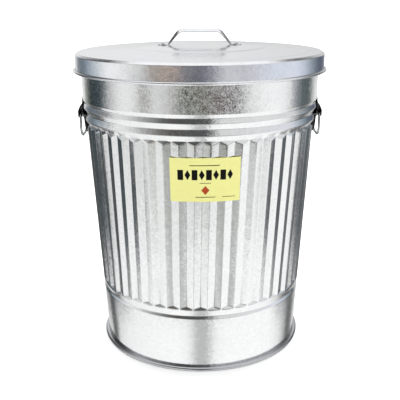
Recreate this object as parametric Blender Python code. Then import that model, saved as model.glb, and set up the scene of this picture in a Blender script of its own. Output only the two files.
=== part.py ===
"""Galvanised steel dustbin: a fluted can on a foot hoop, a lift-off lid with a strap handle,
and a wire bail in a pressed bracket on each side.

Metres, +Z up. The origin is on the floor at the middle of the foot. The front, with the
label, faces -Y, and the two bails are at -X (left) and +X (right).
"""
import math

import bmesh
import bpy
from mathutils import Matrix, Vector

# ---------------------------------------------------------------- driving dimensions
SHEET = 0.0005              # thickness of the can and lid sheet
GAP = 0.0003                # clearance between pieces that touch

FLUTES = 50                 # pleats round the can
FLUTE_PITCH = 2.0 * math.pi / FLUTES
CREST_BOTTOM = math.radians(-3.9)   # azimuth of one crest at the pleats' lower end
CREST_TOP = math.radians(-2.3)      # azimuth of the same crest at their upper end
LOWER_PHASE = CREST_BOTTOM          # the wall below the pleats has its corners at the crests
UPPER_PHASE = CREST_TOP + FLUTE_PITCH / 2.0   # the wall above has them at the valleys
FLUTE_DEPTH = 0.0025        # crest to valley
CREST_WIDTH = 0.0012        # flat on top of each pleat
FLUTE_END = 0.0050          # height of the sloping facets that close the pleats
FLUTE_BOTTOM_Z = 0.1068
FLUTE_TOP_Z = 0.3740

FOOT_RADIUS = 0.1640        # can radius where its straight taper meets the floor
TAPER = 0.0573              # growth of the can's radius per metre of height

CAN_EDGE_Z = 0.0020         # lower edge of the can sheet
LOWER_GROOVE_Z = (0.0903, 0.0951, 0.1039)      # lower lip, bottom, upper lip
LOWER_GROOVE_DEPTH = 0.0023
UPPER_BAND_RADIUS = 0.1903
UPPER_RINGS = (             # swaged rings under the plain upper band: radius, height
    (0.1886, 0.3820),
    (0.1860, 0.3920),
    (0.1902, 0.4000),
    (0.1876, 0.4078),
    (UPPER_BAND_RADIUS, 0.4130),
)

RIM_WIRE_RADIUS = 0.0020
RIM_CURL_Z = 0.4814         # height of the rim wire's middle
CURL_SWEEP = 300            # degrees of sheet rolled round an edge wire
CURL_STEPS = 6
WIRE_STEPS = 6              # sides of an edge wire

LID_SIDES = 60
LID_CROWN_Z = 0.4935
LID_SKIRT_RADIUS = 0.1995
LID_TOP = (                 # upper surface of the lid from the crown out to the skirt
    (0.0720, LID_CROWN_Z),
    (0.1040, 0.4916),
    (0.1072, 0.4904),
    (0.1105, 0.4902),
    (0.1762, 0.4869),
    (0.1790, 0.4863),
    (0.1890, 0.4856),
    (0.1950, 0.4852),
    (LID_SKIRT_RADIUS, 0.4818),
)
LID_WIRE_RADIUS = 0.0015
LID_HEM_Z = 0.4551          # lowest edge of the lid

FOOT_HOOP_RADIUS = 0.1708
FOOT_HOOP_HEIGHT = 0.0058
FOOT_HOOP_INNER = 0.1614
FOOT_SLOT_Z = 0.0014        # floor of the slot that takes the can and pan edges
FOOT_SLOT_PLAY = 0.0001     # extra room on the slot's inner side
PAN_Z = 0.0105              # upper face of the bottom pan
PAN_RADIUS = 0.1633
PAN_FLAT_END = 0.0035       # from the pan's edge in to its flat middle, and down its rounding
PAN_SHOULDER = (0.0009, 0.0012)     # inset and depth of the middle of that rounding

HANDLE_TOP_Z = 0.5190
HANDLE_THICKNESS = 0.0010
HANDLE_WIDTH = 0.018
HANDLE_RISE = 0.0045        # depth of the strap's channel section
HANDLE_ROOT_RISE = 0.0022   # the same at the leg's foot
HANDLE_ACROSS = (-1.0, -0.55, 0.0, 0.55, 1.0)   # points across the section, in half widths
HANDLE_TOP_CORNER_X = 0.0340
HANDLE_FOOT_CORNER_X = 0.0525
HANDLE_TIP_X = 0.0682
HANDLE_TOP_BEND = 0.0160
HANDLE_FOOT_BEND = 0.0040
HANDLE_FOOT_WIDTH = 0.0200
HANDLE_FOOT_OUTLINE = (     # share of the foot's length from its tip, share of its full width
    (0.0, 0.15),
    (0.2, 0.62),
    (0.45, 0.92),
    (0.75, 1.0),
)
HANDLE_LEG_SHARES = (0.35, 0.7)     # stations up the leg
LID_RIVET_X = 0.0590

BRACKET_Z = 0.3825          # middle of the bracket plate
BRACKET_HALF_HEIGHT = 0.030
BRACKET_HALF_WIDTH = 0.040
BRACKET_TIP = 0.0020        # half width left at the plate's points
BRACKET_SHEET = 0.0010
PLATE_RADIUS = 0.18895      # inner radius of the plate at PLATE_Z
PLATE_Z = 0.3820
PLATE_SLOPE = 0.0917
HOOD_HALF_LENGTH = 0.025
HOOD_FRONT_X = 0.1976
HOOD_ROOT_Z = 0.4045        # where the hood leaves the plate
HOOD_ROOT_HEIGHT = 0.0022
HOOD_FLOOR_Z = 0.3810       # underside of the hood's lower lip

BAIL_AXIS_X = 0.1928
BAIL_AXIS_Z = 0.3850
BAIL_WIRE_RADIUS = 0.0020
BAIL_HALF_WIDTH = 0.0300
BAIL_DROP = 0.0350
BAIL_TOP_CORNER = 0.0050
BAIL_GRIP_CORNER = 0.0180

BRACKET_RIVET_Y = 0.0330
BRACKET_RIVET_Z = 0.3850
RIVET_SHANK_RADIUS = 0.0015
RIVET_HOLE_RADIUS = 0.0018
RIVET_HEAD_RADIUS = 0.0035
RIVET_HEAD_HEIGHT = 0.0015
RIVET_TAIL_RADIUS = 0.0026
RIVET_TAIL_HEIGHT = 0.0012
RIVET_SIDES = 10
RIVET_DOME = ((0.6, 0.82), (1.0, 0.25))     # head outline as shares of its radius and height
RIVET_TAIL_CHAMFER = 0.8    # share of the tail's radius left at its end
WASHER_RADIUS = 0.0035
WASHER_THICKNESS = 0.0010
WASHER_FACE_RADIUS = 0.1856   # outer face of the bracket washers, inside the lower ring

LABEL_HALF_ANGLE = math.radians(15.6)
LABEL_AZIMUTH = math.radians(2.3)
LABEL_Z = (0.2847, 0.3507)
LABEL_THICKNESS = 0.0003

SIDES = {"left": -1, "right": 1}


# ---------------------------------------------------------------- scene and materials
def clear_scene():
    """Remove every object that the file opened with."""
    for old in list(bpy.data.objects):
        bpy.data.objects.remove(old, do_unlink=True)


def principled(name, colour, roughness, metallic):
    """A Principled material of one colour."""
    material = bpy.data.materials.new(name)
    material.use_nodes = True
    shader = material.node_tree.nodes["Principled BSDF"]
    shader.inputs["Base Color"].default_value = (*colour, 1.0)
    shader.inputs["Roughness"].default_value = roughness
    shader.inputs["Metallic"].default_value = metallic
    material.diffuse_color = (*colour, 1.0)
    return material


def new_object(name, bm, material, smooth_angle=32.0, location=(0.0, 0.0, 0.0)):
    """Turn a bmesh into an object with outward faces and smooth round surfaces."""
    bmesh.ops.recalc_face_normals(bm, faces=bm.faces)
    mesh = bpy.data.meshes.new(name)
    bm.to_mesh(mesh)
    bm.free()
    mesh.shade_smooth()
    mesh.set_sharp_from_angle(angle=math.radians(smooth_angle))
    mesh.materials.append(material)
    item = bpy.data.objects.new(name, mesh)
    item.location = location
    bpy.context.scene.collection.objects.link(item)
    return item


# ---------------------------------------------------------------- outlines
def arc(centre, radius, start, end, steps):
    """Points (r, z) on an arc from start to end, in degrees from the +r direction."""
    points = []
    for step in range(steps + 1):
        angle = math.radians(start + (end - start) * step / steps)
        points.append((centre[0] + radius * math.cos(angle), centre[1] + radius * math.sin(angle)))
    return points


def offset_line(points, distance):
    """Shift an open outline sideways by a distance, to its left for a positive one."""
    shifted = []
    last = len(points) - 1
    for index, point in enumerate(points):
        before = Vector(points[max(index - 1, 0)])
        here = Vector(point)
        after = Vector(points[min(index + 1, last)])
        incoming = (here - before) if index > 0 else (after - here)
        outgoing = (after - here) if index < last else (here - before)
        left_in = Vector((-incoming.y, incoming.x)).normalized()
        left_out = Vector((-outgoing.y, outgoing.x)).normalized()
        miter = (left_in + left_out).normalized()
        here += miter * distance / miter.dot(left_in)
        shifted.append((here.x, here.y))
    return shifted


def rounded_corner(before, corner, after, radius, steps):
    """Points of an arc of the given radius that rounds off one corner of a path."""
    corner = Vector(corner)
    to_before = (Vector(before) - corner).normalized()
    to_after = (Vector(after) - corner).normalized()
    half_turn = to_before.angle(to_after) / 2.0
    bisector = (to_before + to_after).normalized()
    centre = corner + bisector * radius / math.sin(half_turn)
    start = (corner + to_before * radius / math.tan(half_turn) - centre).normalized()
    end = (corner + to_after * radius / math.tan(half_turn) - centre).normalized()
    points = []
    for step in range(steps + 1):
        points.append(centre + start.slerp(end, step / steps) * radius)
    return points


def can_radius(height):
    """Outer radius of the can's straight taper at a height."""
    return FOOT_RADIUS + TAPER * height


def crest_azimuth(height):
    """Azimuth of the first pleat's crest at a height: the pleats lean slightly."""
    share = (height - FLUTE_BOTTOM_Z) / (FLUTE_TOP_Z - FLUTE_BOTTOM_Z)
    return CREST_BOTTOM + (CREST_TOP - CREST_BOTTOM) * share


# ---------------------------------------------------------------- turned solids
def at_azimuth(radius, azimuth, height):
    """A point round the can's axis: azimuth 0 is the front (-Y), 90 degrees is +X."""
    return Vector((radius * math.sin(azimuth), -radius * math.cos(azimuth), height))


def plain_ring(bm, radius, height, sides, phase):
    """A ring of vertices, or one vertex on the axis."""
    if radius == 0.0:
        return [bm.verts.new((0.0, 0.0, height))]
    ring = []
    for side in range(sides):
        azimuth = phase + 2.0 * math.pi * side / sides
        ring.append(bm.verts.new(at_azimuth(radius, azimuth, height)))
    return ring


def fluted_ring(bm, radius, height):
    """A ring of three vertices a pleat: the two edges of its crest, then its valley."""
    half_crest = CREST_WIDTH / 2.0 / radius
    valley_radius = radius - FLUTE_DEPTH
    ring = []
    for flute in range(FLUTES):
        azimuth = crest_azimuth(height) + FLUTE_PITCH * flute
        valley = azimuth + FLUTE_PITCH / 2.0
        ring.append(bm.verts.new(at_azimuth(radius, azimuth - half_crest, height)))
        ring.append(bm.verts.new(at_azimuth(radius, azimuth + half_crest, height)))
        ring.append(bm.verts.new(at_azimuth(valley_radius, valley, height)))
    return ring


def close_flutes(bm, plain, fluted, plain_is_above):
    """Join a plain ring to a fluted one with the facets that close each pleat.

    Below, the plain wall is flush with the crests, and a facet rises out of each valley. Above,
    it is flush with the valleys, and a facet falls back from each crest.
    """
    for flute in range(FLUTES):
        following = (flute + 1) % FLUTES
        crest_start, crest_end, valley = fluted[3 * flute:3 * flute + 3]
        next_start, next_end, next_valley = fluted[3 * following:3 * following + 3]
        here = plain[flute]
        beyond = plain[following]
        if plain_is_above:
            bm.faces.new((here, valley, next_start))
            bm.faces.new((here, next_start, next_end, beyond))
            bm.faces.new((beyond, next_end, next_valley))
        else:
            bm.faces.new((here, crest_start, crest_end))
            bm.faces.new((here, crest_end, valley))
            bm.faces.new((here, valley, beyond))
            bm.faces.new((beyond, valley, next_start))


def join_rings(bm, first, second):
    """Join two rings with faces, whatever their kinds."""
    if len(first) > len(second):
        first, second = second, first
    if len(second) == 1:
        return
    count = len(second)
    if len(first) == 1:
        for side in range(count):
            bm.faces.new((first[0], second[side], second[(side + 1) % count]))
    elif len(first) == count:
        for side in range(count):
            after = (side + 1) % count
            bm.faces.new((first[side], first[after], second[after], second[side]))
    else:
        close_flutes(bm, first, second, first[0].co.z > second[0].co.z)


def turned(outline, sides, phase=0.0):
    """Turn a closed outline of (r, z) points about the Z axis."""
    bm = bmesh.new()
    rings = [plain_ring(bm, radius, height, sides, phase) for radius, height in outline]
    for index, ring in enumerate(rings):
        join_rings(bm, ring, rings[(index + 1) % len(rings)])
    return bm


def wire_ring(centre_radius, height, wire_radius, sides, phase):
    """A ring of round wire."""
    last = 360 - 360 / WIRE_STEPS
    section = arc((centre_radius, height), wire_radius, 0, last, WIRE_STEPS - 1)
    return turned(section, sides, phase)


# ---------------------------------------------------------------- the can
def rim_curl_centre():
    """Middle (r, z) of the wire in the can's rim."""
    return (UPPER_BAND_RADIUS + RIM_WIRE_RADIUS + GAP, RIM_CURL_Z)


def build_body_shell(material):
    """The can's sheet: foot edge, lower groove, pleats, ring grooves, band and rolled rim."""
    lower_lip, groove_bottom, upper_lip = LOWER_GROOVE_Z
    wall = [
        (can_radius(CAN_EDGE_Z), CAN_EDGE_Z),
        (can_radius(lower_lip), lower_lip),
        (can_radius(groove_bottom) - LOWER_GROOVE_DEPTH, groove_bottom),
        (can_radius(upper_lip), upper_lip),
        (can_radius(FLUTE_BOTTOM_Z), FLUTE_BOTTOM_Z),
    ]
    flute_heights = (FLUTE_BOTTOM_Z + FLUTE_END, FLUTE_TOP_Z - FLUTE_END)
    upper_wall = [(can_radius(FLUTE_TOP_Z) - FLUTE_DEPTH, FLUTE_TOP_Z), *UPPER_RINGS]
    centre = rim_curl_centre()
    wire_side = arc(centre, RIM_WIRE_RADIUS + GAP, 180, 180 - CURL_SWEEP, CURL_STEPS)
    outside = arc(centre, RIM_WIRE_RADIUS + GAP + SHEET, 180 - CURL_SWEEP, 180, CURL_STEPS)

    inner_wall = [(radius - SHEET, height) for radius, height in wall[::-1]]
    inner_upper_wall = [(radius - SHEET, height) for radius, height in upper_wall[::-1]]

    bm = bmesh.new()
    rings = []
    for radius, height in wall:
        rings.append(plain_ring(bm, radius, height, FLUTES, LOWER_PHASE))
    for height in flute_heights:
        rings.append(fluted_ring(bm, can_radius(height), height))
    for radius, height in upper_wall + wire_side + outside + inner_upper_wall:
        rings.append(plain_ring(bm, radius, height, FLUTES, UPPER_PHASE))
    for height in flute_heights[::-1]:
        rings.append(fluted_ring(bm, can_radius(height) - SHEET, height))
    for radius, height in inner_wall:
        rings.append(plain_ring(bm, radius, height, FLUTES, LOWER_PHASE))
    for index, ring in enumerate(rings):
        join_rings(bm, ring, rings[(index + 1) % len(rings)])
    return new_object("body_shell", bm, material, smooth_angle=20.0)


def build_rim_wire(material):
    """The stiffening wire that the can's rim is rolled round."""
    centre = rim_curl_centre()
    bm = wire_ring(centre[0], centre[1], RIM_WIRE_RADIUS, FLUTES, UPPER_PHASE)
    return new_object("rim_wire", bm, material, smooth_angle=60.0)


def build_bottom_pan(material):
    """The raised bottom, a shallow pan turned down at its edge."""
    upper = [
        (0.0, PAN_Z),
        (PAN_RADIUS - PAN_FLAT_END, PAN_Z),
        (PAN_RADIUS - PAN_SHOULDER[0], PAN_Z - PAN_SHOULDER[1]),
        (PAN_RADIUS, PAN_Z - PAN_FLAT_END),
        (PAN_RADIUS, CAN_EDGE_Z + GAP),
    ]
    bm = turned(upper + offset_line(upper, -SHEET)[::-1], FLUTES, LOWER_PHASE)
    return new_object("bottom_pan", bm, material)


def build_foot_hoop(material):
    """The rolled hoop that the can stands on, with a slot for the can and pan edges."""
    slot_inner = PAN_RADIUS - SHEET - GAP - FOOT_SLOT_PLAY
    slot_outer = can_radius(FOOT_SLOT_Z) + GAP
    lip_outer = can_radius(FOOT_HOOP_HEIGHT) + GAP
    bead = FOOT_HOOP_HEIGHT / 2.0
    bead_r = FOOT_HOOP_RADIUS - bead
    outline = [(FOOT_HOOP_INNER, 0.0)]
    outline += arc((bead_r, bead), bead, -90, 90, 5)
    outline += [
        (lip_outer, FOOT_HOOP_HEIGHT),
        (slot_outer, FOOT_SLOT_Z),
        (slot_inner, FOOT_SLOT_Z),
        (slot_inner, FOOT_HOOP_HEIGHT),
        (FOOT_HOOP_INNER, FOOT_HOOP_HEIGHT),
    ]
    bm = turned(outline, FLUTES, LOWER_PHASE)
    return new_object("foot_hoop", bm, material)


def build_front_label(material):
    """The printed label, a thin sheet that bridges the pleats on the front."""
    columns = 10
    bm = bmesh.new()
    grid = []
    for column in range(columns + 1):
        azimuth = LABEL_AZIMUTH + LABEL_HALF_ANGLE * (2.0 * column / columns - 1.0)
        section = []
        for height, layer in ((LABEL_Z[0], 0), (LABEL_Z[1], 0), (LABEL_Z[1], 1), (LABEL_Z[0], 1)):
            radius = can_radius(height) + GAP + layer * LABEL_THICKNESS
            section.append(bm.verts.new(at_azimuth(radius, azimuth, height)))
        grid.append(section)
    for first, second in zip(grid, grid[1:]):
        for side in range(4):
            after = (side + 1) % 4
            bm.faces.new((first[side], first[after], second[after], second[side]))
    bm.faces.new(grid[0])
    bm.faces.new(grid[-1])
    return new_object("front_label", bm, material)


# ---------------------------------------------------------------- the lid
def build_lid_shell(material):
    """The lid's sheet: crown, step, sloping panel, shoulder, skirt and rolled hem."""
    centre = (LID_SKIRT_RADIUS + LID_WIRE_RADIUS + GAP, LID_HEM_Z + LID_WIRE_RADIUS + GAP + SHEET)
    upper = [(0.0, LID_CROWN_Z), *LID_TOP]
    under = offset_line(upper, -SHEET)[::-1]
    wire_side = arc(centre, LID_WIRE_RADIUS + GAP, 180, 180 + CURL_SWEEP, CURL_STEPS)
    outside = arc(centre, LID_WIRE_RADIUS + GAP + SHEET, 180 + CURL_SWEEP, 180, CURL_STEPS)
    under[-1] = (0.0, LID_CROWN_Z - SHEET)
    under[0] = (LID_SKIRT_RADIUS - SHEET, under[0][1])
    bm = turned(upper + wire_side + outside + under, LID_SIDES)
    return new_object("lid_shell", bm, material, smooth_angle=35.0)


def build_lid_edge_wire(material):
    """The wire inside the lid's hem."""
    radius = LID_SKIRT_RADIUS + LID_WIRE_RADIUS + GAP
    height = LID_HEM_Z + LID_WIRE_RADIUS + GAP + SHEET
    bm = wire_ring(radius, height, LID_WIRE_RADIUS, LID_SIDES, 0.0)
    return new_object("lid_edge_wire", bm, material, smooth_angle=60.0)


def handle_stations():
    """Stations along the strap from the +X tip to the middle: point, normal, width, rise."""
    foot_z = LID_CROWN_Z + GAP + HANDLE_THICKNESS
    tip = (HANDLE_TIP_X, foot_z)
    foot_corner = (HANDLE_FOOT_CORNER_X, foot_z)
    top_corner = (HANDLE_TOP_CORNER_X, HANDLE_TOP_Z)
    middle = (0.0, HANDLE_TOP_Z)
    foot_bend = rounded_corner(tip, foot_corner, top_corner, HANDLE_FOOT_BEND, 3)
    top_bend = rounded_corner(foot_corner, top_corner, middle, HANDLE_TOP_BEND, 5)
    upright = Vector((0.0, 1.0))
    stations = []
    foot_length = HANDLE_TIP_X - foot_bend[0].x
    for share, width in HANDLE_FOOT_OUTLINE:
        x = HANDLE_TIP_X - foot_length * share
        stations.append((Vector((x, foot_z)), upright, HANDLE_FOOT_WIDTH * width, 0.0))
    leg = Vector(top_corner) - Vector(foot_corner)
    leg_normal = Vector((-leg.y, leg.x)).normalized()
    if leg_normal.x < 0.0:
        leg_normal.negate()
    for step, point in enumerate(foot_bend):
        share = step / (len(foot_bend) - 1)
        normal = upright.slerp(leg_normal, share)
        stations.append((point, normal, HANDLE_WIDTH, HANDLE_ROOT_RISE * share * share))
    for share in HANDLE_LEG_SHARES:
        point = foot_bend[-1].lerp(top_bend[0], share)
        rise = HANDLE_ROOT_RISE + (HANDLE_RISE - HANDLE_ROOT_RISE) * share
        stations.append((point, leg_normal, HANDLE_WIDTH, rise))
    for step, point in enumerate(top_bend):
        normal = leg_normal.slerp(upright, step / (len(top_bend) - 1))
        stations.append((point, normal, HANDLE_WIDTH, HANDLE_RISE))
    return stations


def build_lid_handle(material):
    """The lid's handle, a strap pressed to a channel section with a pointed foot at each end."""
    half = handle_stations()
    stations = list(half)
    for point, normal, width, rise in half[::-1]:
        stations.append((Vector((-point.x, point.y)), Vector((-normal.x, normal.y)), width, rise))
    bm = bmesh.new()
    sections = []
    for point, normal, width, rise in stations:
        upper = []
        lower = []
        for share in HANDLE_ACROSS:
            crown = point - normal * rise * share * share
            under = crown - normal * HANDLE_THICKNESS
            upper.append(bm.verts.new((crown.x, width / 2.0 * share, crown.y)))
            lower.append(bm.verts.new((under.x, width / 2.0 * share, under.y)))
        sections.append(upper + lower[::-1])
    for first, second in zip(sections, sections[1:]):
        count = len(first)
        for side in range(count):
            after = (side + 1) % count
            bm.faces.new((first[side], first[after], second[after], second[side]))
    bm.faces.new(sections[0])
    bm.faces.new(sections[-1])
    return new_object("lid_handle", bm, material)


# ---------------------------------------------------------------- side brackets and bails
def plate_point(side, y, height, layer):
    """A point of a bracket plate: layer 0 is its inner face and 1 its outer face."""
    radius = PLATE_RADIUS + PLATE_SLOPE * (height - PLATE_Z) + layer * BRACKET_SHEET
    azimuth = y / PLATE_RADIUS
    return Vector((side * radius * math.cos(azimuth), radius * math.sin(azimuth), height))


def build_bracket_plate(bm, side):
    """The plate of a bracket, a leaf with its points up and down, curved round the can."""
    rows = 10
    columns = 10
    layers = []
    for layer in (0, 1):
        grid = []
        for row in range(rows + 1):
            share = 2.0 * row / rows - 1.0
            height = BRACKET_Z + BRACKET_HALF_HEIGHT * share
            half_width = BRACKET_TIP + (BRACKET_HALF_WIDTH - BRACKET_TIP) * (1.0 - share * share)
            line = []
            for column in range(columns + 1):
                y = half_width * (2.0 * column / columns - 1.0)
                line.append(bm.verts.new(plate_point(side, y, height, layer)))
            grid.append(line)
        layers.append(grid)
    for grid in layers:
        for row in range(rows):
            for column in range(columns):
                bm.faces.new((grid[row][column], grid[row][column + 1],
                              grid[row + 1][column + 1], grid[row + 1][column]))
    inner, outer = layers
    edge = [(0, column) for column in range(columns)]
    edge += [(row, columns) for row in range(rows)]
    edge += [(rows, columns - column) for column in range(columns)]
    edge += [(rows - row, 0) for row in range(rows)]
    for (row, column), (next_row, next_column) in zip(edge, edge[1:] + edge[:1]):
        bm.faces.new((inner[row][column], inner[next_row][next_column],
                      outer[next_row][next_column], outer[row][column]))


def build_hood(side):
    """The pressed hood that holds a bail, as a bent strip rooted in the plate."""
    front = HOOD_FRONT_X
    inside = HOOD_FRONT_X - BRACKET_SHEET
    brow_z = BAIL_AXIS_Z + 3.0 * BAIL_WIRE_RADIUS
    lip_z = HOOD_FLOOR_Z
    lip_top_z = HOOD_FLOOR_Z + BRACKET_SHEET
    bend = 1.5 * BRACKET_SHEET
    chamfer = 0.6 * BRACKET_SHEET
    outline = [
        (front - chamfer, brow_z + bend),
        (front, brow_z),
        (front, lip_z + bend),
        (front - bend, lip_z),
        (BAIL_AXIS_X, lip_z),
        (BAIL_AXIS_X, lip_top_z),
        (inside - bend / 2.0, lip_top_z),
        (inside, lip_top_z + BRACKET_SHEET),
        (inside, brow_z - chamfer),
        (inside - chamfer, brow_z + bend - chamfer),
    ]
    stations = 6
    bm = bmesh.new()
    sections = []
    for station in range(stations + 1):
        y = HOOD_HALF_LENGTH * (2.0 * station / stations - 1.0)
        section = []
        for height in (HOOD_ROOT_Z - HOOD_ROOT_HEIGHT, HOOD_ROOT_Z):
            root = plate_point(side, y, height, 0.5)
            section.append(bm.verts.new((root.x, y, height)))
        for x, height in outline:
            section.append(bm.verts.new((side * x, y, height)))
        sections.append(section)
    for first, second in zip(sections, sections[1:]):
        count = len(first)
        for corner in range(count):
            after = (corner + 1) % count
            bm.faces.new((first[corner], first[after], second[after], second[corner]))
    bm.faces.new(sections[0])
    bm.faces.new(sections[-1])
    return bm


def build_bracket(label, side, material, rivet_cutter):
    """One side bracket: the plate and its hood made one, drilled for its two rivets."""
    plate = bmesh.new()
    build_bracket_plate(plate, side)
    bracket = new_object("bracket_" + label, plate, material)
    hood = new_object("hood_tool_" + label, build_hood(side), material)
    hide_tool(hood)
    union = bracket.modifiers.new("hood", "BOOLEAN")
    union.operation = "UNION"
    union.solver = "EXACT"
    union.object = hood
    drill(bracket, rivet_cutter)
    return bracket


def build_bail(label, side, material):
    """One bail: a closed loop of wire whose upper run turns in the hood."""
    grip_z = -BAIL_DROP
    corners = [
        ((-BAIL_HALF_WIDTH, 0.0), BAIL_TOP_CORNER),
        ((BAIL_HALF_WIDTH, 0.0), BAIL_TOP_CORNER),
        ((BAIL_HALF_WIDTH, grip_z), BAIL_GRIP_CORNER),
        ((-BAIL_HALF_WIDTH, grip_z), BAIL_GRIP_CORNER),
    ]
    path = []
    for index, (corner, radius) in enumerate(corners):
        before = corners[index - 1][0]
        after = corners[(index + 1) % len(corners)][0]
        path += rounded_corner(before, corner, after, radius, 4)
    wire_sides = 8
    bm = bmesh.new()
    rings = []
    for index, point in enumerate(path):
        along = (path[(index + 1) % len(path)] - path[index - 1]).normalized()
        normal = Vector((-along.y, along.x))
        ring = []
        for corner in range(wire_sides):
            angle = 2.0 * math.pi * corner / wire_sides
            place = point + normal * BAIL_WIRE_RADIUS * math.cos(angle)
            x = BAIL_WIRE_RADIUS * math.sin(angle)
            ring.append(bm.verts.new((x, place.x, place.y)))
        rings.append(ring)
    for index, ring in enumerate(rings):
        join_rings(bm, ring, rings[(index + 1) % len(rings)])
    pivot = (side * BAIL_AXIS_X, 0.0, BAIL_AXIS_Z)
    return new_object("bail_" + label, bm, material, smooth_angle=60.0, location=pivot)


# ---------------------------------------------------------------- rivets, washers and holes
def hide_tool(item):
    """Mark an object as a modelling tool and not a piece."""
    item.hide_render = True
    item.display_type = "WIRE"


def drill(item, cutter):
    """Cut the cutter's holes in a piece."""
    cut = item.modifiers.new("holes", "BOOLEAN")
    cut.operation = "DIFFERENCE"
    cut.solver = "EXACT"
    cut.object = cutter


def build_cutter(name, places, near, far, material):
    """Round cutters along the local Z axis of each place, from near to far."""
    joined = bmesh.new()
    for place in places:
        outline = [(0.0, far), (RIVET_HOLE_RADIUS, far), (RIVET_HOLE_RADIUS, near), (0.0, near)]
        single = turned(outline, RIVET_SIDES)
        single.transform(place)
        mesh = bpy.data.meshes.new("cut")
        single.to_mesh(mesh)
        single.free()
        joined.from_mesh(mesh)
        bpy.data.meshes.remove(mesh)
    cutter = new_object(name, joined, material)
    hide_tool(cutter)
    return cutter


def build_rivet(name, place, head_z, tail_z, material):
    """A round-head rivet along a place's local Z axis, its head's seat at head_z."""
    outline = [
        (0.0, head_z + RIVET_HEAD_HEIGHT),
        *[(RIVET_HEAD_RADIUS * out, head_z + RIVET_HEAD_HEIGHT * up) for out, up in RIVET_DOME],
        (RIVET_HEAD_RADIUS, head_z),
        (RIVET_SHANK_RADIUS, head_z),
        (RIVET_SHANK_RADIUS, tail_z),
        (RIVET_TAIL_RADIUS, tail_z),
        (RIVET_TAIL_RADIUS * RIVET_TAIL_CHAMFER, tail_z - RIVET_TAIL_HEIGHT),
        (0.0, tail_z - RIVET_TAIL_HEIGHT),
    ]
    bm = turned(outline, RIVET_SIDES)
    bm.transform(place)
    return new_object(name, bm, material)


def build_washer(name, place, face_z, material):
    """A flat washer along a place's local Z axis, with its outer face at face_z."""
    outline = [
        (RIVET_HOLE_RADIUS, face_z),
        (WASHER_RADIUS, face_z),
        (WASHER_RADIUS, face_z - WASHER_THICKNESS),
        (RIVET_HOLE_RADIUS, face_z - WASHER_THICKNESS),
    ]
    bm = turned(outline, RIVET_SIDES)
    bm.transform(place)
    return new_object(name, bm, material)


def radial_place(side, y):
    """A frame on the can's axis whose local Z points out through a bracket rivet."""
    azimuth = math.asin(y / (PLATE_RADIUS + BRACKET_SHEET))
    outward = Vector((side * math.cos(azimuth), math.sin(azimuth), 0.0))
    turn = outward.to_track_quat("Z", "Y").to_matrix().to_4x4()
    return Matrix.Translation((0.0, 0.0, BRACKET_RIVET_Z)) @ turn


def build_bracket_fixings(material):
    """The four bracket rivets with a washer each, and the cutter of their holes."""
    seat = PLATE_RADIUS + PLATE_SLOPE * (BRACKET_RIVET_Z - PLATE_Z) + BRACKET_SHEET + GAP
    tail = WASHER_FACE_RADIUS - WASHER_THICKNESS - GAP
    places = []
    for label, side in SIDES.items():
        for row, y in (("front", -BRACKET_RIVET_Y), ("rear", BRACKET_RIVET_Y)):
            place = radial_place(side, y)
            places.append(place)
            build_rivet("bracket_rivet_" + label + "_" + row, place, seat, tail, material)
            build_washer("bracket_washer_" + label + "_" + row, place, WASHER_FACE_RADIUS, material)
    return build_cutter("bracket_hole_tool", places, tail, seat + GAP, material)


def build_lid_fixings(material):
    """The two lid handle rivets with a washer each, and the cutter of their holes."""
    seat = LID_CROWN_Z + GAP + HANDLE_THICKNESS + GAP
    washer_face = LID_CROWN_Z - SHEET - GAP
    tail = washer_face - WASHER_THICKNESS - GAP
    places = []
    for label, side in SIDES.items():
        place = Matrix.Translation((side * LID_RIVET_X, 0.0, 0.0))
        places.append(place)
        build_rivet("lid_rivet_" + label, place, seat, tail, material)
        build_washer("lid_washer_" + label, place, washer_face, material)
    return build_cutter("lid_hole_tool", places, tail, seat + GAP, material)


# ---------------------------------------------------------------- assembly
def main():
    clear_scene()
    galvanised = principled("galvanised_steel", (0.72, 0.74, 0.75), 0.32, 1.0)
    wire = principled("zinc_wire", (0.60, 0.61, 0.62), 0.38, 1.0)
    black = principled("black_enamel", (0.012, 0.012, 0.014), 0.42, 0.0)
    zinc = principled("zinc_rivet", (0.66, 0.67, 0.68), 0.35, 1.0)
    paper = principled("printed_label", (0.84, 0.79, 0.32), 0.55, 0.0)

    bracket_cutter = build_bracket_fixings(zinc)
    lid_cutter = build_lid_fixings(zinc)

    drill(build_body_shell(galvanised), bracket_cutter)
    build_rim_wire(wire)
    build_bottom_pan(galvanised)
    build_foot_hoop(galvanised)
    build_front_label(paper)
    for label, side in SIDES.items():
        build_bracket(label, side, black, bracket_cutter)
        build_bail(label, side, wire)

    drill(build_lid_shell(galvanised), lid_cutter)
    build_lid_edge_wire(wire)
    drill(build_lid_handle(galvanised), lid_cutter)


main()
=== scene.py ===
"""Fine surfaces and finishes of a galvanised dustbin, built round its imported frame.

Metres, +Z up, in the frame's own coordinates. The front, with the label, faces -Y.
"""
import math

import bmesh
import bpy
from mathutils import Matrix, Vector


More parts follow.
